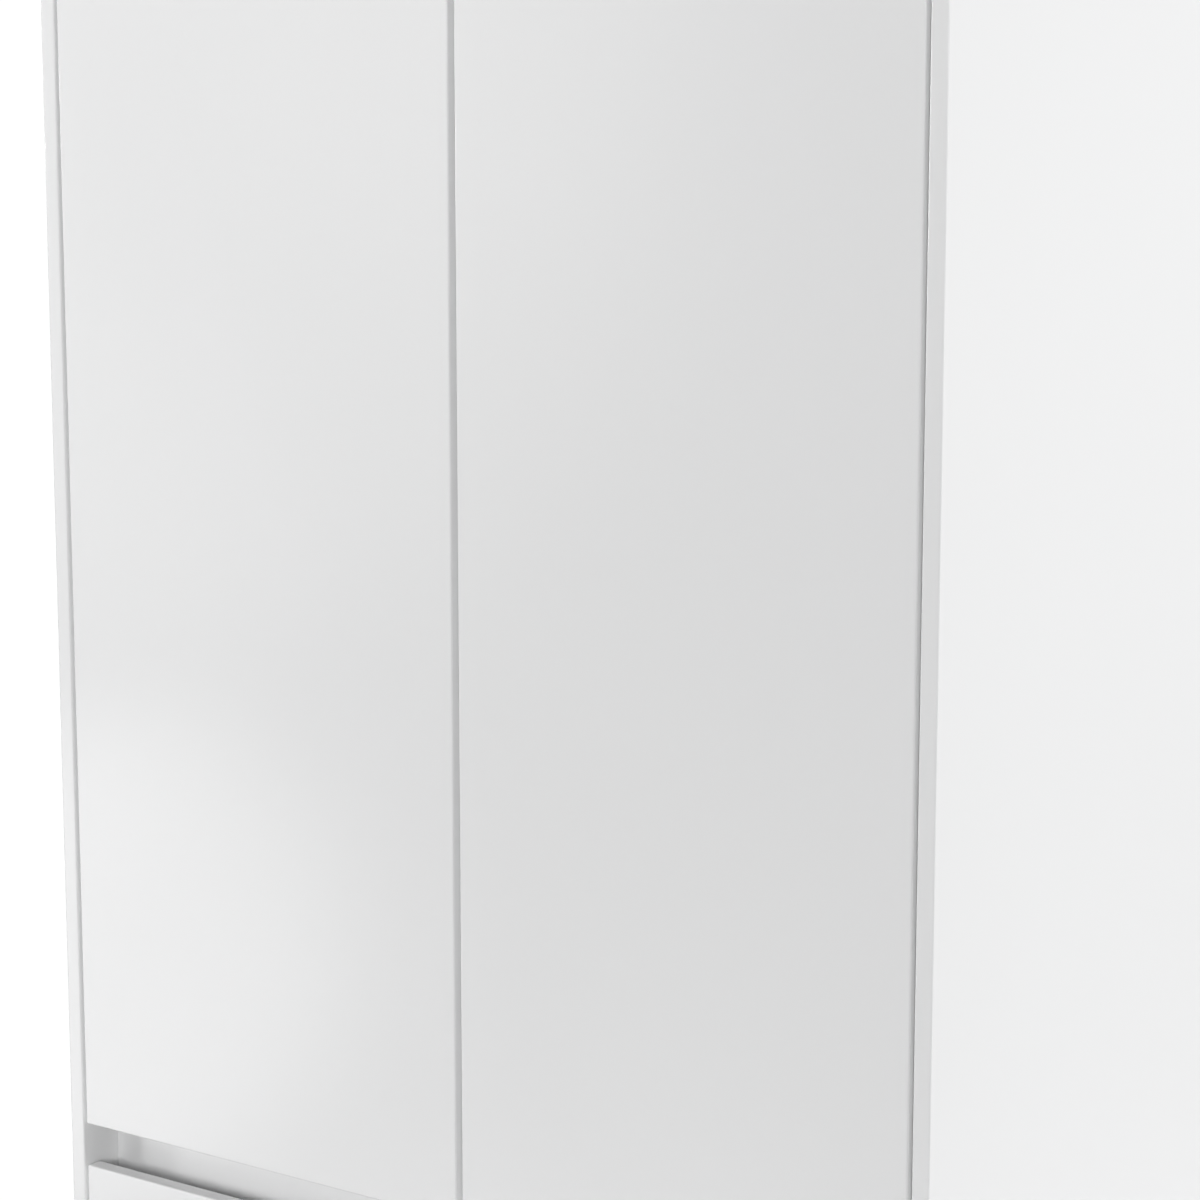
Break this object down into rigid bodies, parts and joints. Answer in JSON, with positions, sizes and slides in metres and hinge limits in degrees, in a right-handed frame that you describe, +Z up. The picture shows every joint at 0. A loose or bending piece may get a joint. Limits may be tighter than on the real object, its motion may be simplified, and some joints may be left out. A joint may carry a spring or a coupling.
{
  "type": "wardrobe",
  "caption": "Tall handleless wardrobe with inset doors above a wide inset drawer, opened through a finger recess between them.",
  "frame": {"origin": "on the floor under the middle of the footprint", "axes": "+Z up, front towards -Y, +X to the right seen from the front"},
  "size_m": [1.03, 0.58, 1.98],
  "materials": {
    "white_lacquer": "satin lacquer on board, edges slightly rounded",
    "white_hardboard": "white printed face, raw brown rear",
    "chrome": "polished",
    "nickel": "nickel plated",
    "zinc_steel": "bright zinc plated",
    "white_plastic": "matte",
    "rubber": "soft"
  },
  "bodies": {
    "carcass": {"back_joint_strip": "white_plastic", "back_panel_lower": "white_hardboard", "back_panel_upper": "white_hardboard", "base_panel": "white_lacquer", "bay_floor": "white_lacquer", "centre_partition": "white_lacquer", "door_buffer_left_lower": "rubber", "door_buffer_left_upper": "rubber", "door_buffer_right_lower": "rubber", "door_buffer_right_upper": "rubber", "front_plinth": "white_lacquer", "glide_front_left": "white_plastic", "glide_front_right": "white_plastic", "glide_rear_left": "white_plastic", "glide_rear_right": "white_plastic", "grip_rail": "white_lacquer", "hanging_rail": "chrome", "hat_shelf": "white_lacquer", "hinge_arm_left_1": "nickel", "hinge_arm_left_2": "nickel", "hinge_arm_left_3": "nickel", "hinge_arm_right_1": "nickel", "hinge_arm_right_2": "nickel", "hinge_arm_right_3": "nickel", "rail_socket_left": "chrome", "rail_socket_right": "chrome", "rear_plinth": "white_lacquer", "runner_cabinet_left": "zinc_steel", "runner_cabinet_right": "zinc_steel", "shelf_1": "white_lacquer", "shelf_2": "white_lacquer", "shelf_3": "white_lacquer", "shelf_4": "white_lacquer", "side_panel_left": "white_lacquer", "side_panel_right": "white_lacquer", "top_panel": "white_lacquer", "wall_bracket_left": "zinc_steel", "wall_bracket_right": "zinc_steel"},
    "left_door": {"door_left": "white_lacquer", "hinge_cup_left_1": "nickel", "hinge_cup_left_2": "nickel", "hinge_cup_left_3": "nickel"},
    "right_door": {"door_right": "white_lacquer", "hinge_cup_right_1": "nickel", "hinge_cup_right_2": "nickel", "hinge_cup_right_3": "nickel"},
    "drawer": {"drawer_back": "white_lacquer", "drawer_bottom": "white_hardboard", "drawer_front": "white_lacquer", "drawer_side_left": "white_lacquer", "drawer_side_right": "white_lacquer", "runner_drawer_left": "zinc_steel", "runner_drawer_right": "zinc_steel"},
    "left_runner": {"runner_middle_left": "zinc_steel"},
    "right_runner": {"runner_middle_right": "zinc_steel"}
  },
  "joints": [
    {"name": "left_door_hinge", "type": "hinge", "parent": "carcass", "child": "left_door", "pos_m": [-0.47, -0.277, 1.1965], "axis": [0, 0, -1], "range_deg": [0, 95]},
    {"name": "right_door_hinge", "type": "hinge", "parent": "carcass", "child": "right_door", "pos_m": [0.47, -0.277, 1.1965], "axis": [0, 0, 1], "range_deg": [0, 95]},
    {"name": "drawer_slide", "type": "slide", "parent": "carcass", "child": "drawer", "axis": [0, -1, 0], "range_m": [0, 0.43]},
    {"name": "left_runner_slide", "type": "slide", "parent": "carcass", "child": "left_runner", "axis": [0, -1, 0], "range_m": [0, 0.215]},
    {"name": "right_runner_slide", "type": "slide", "parent": "carcass", "child": "right_runner", "axis": [0, -1, 0], "range_m": [0, 0.215]}
  ],
  "couplings": [
    {"joint": "left_runner_slide", "follows": "drawer_slide", "ratio": 0.5},
    {"joint": "right_runner_slide", "follows": "drawer_slide", "ratio": 0.5}
  ]
}
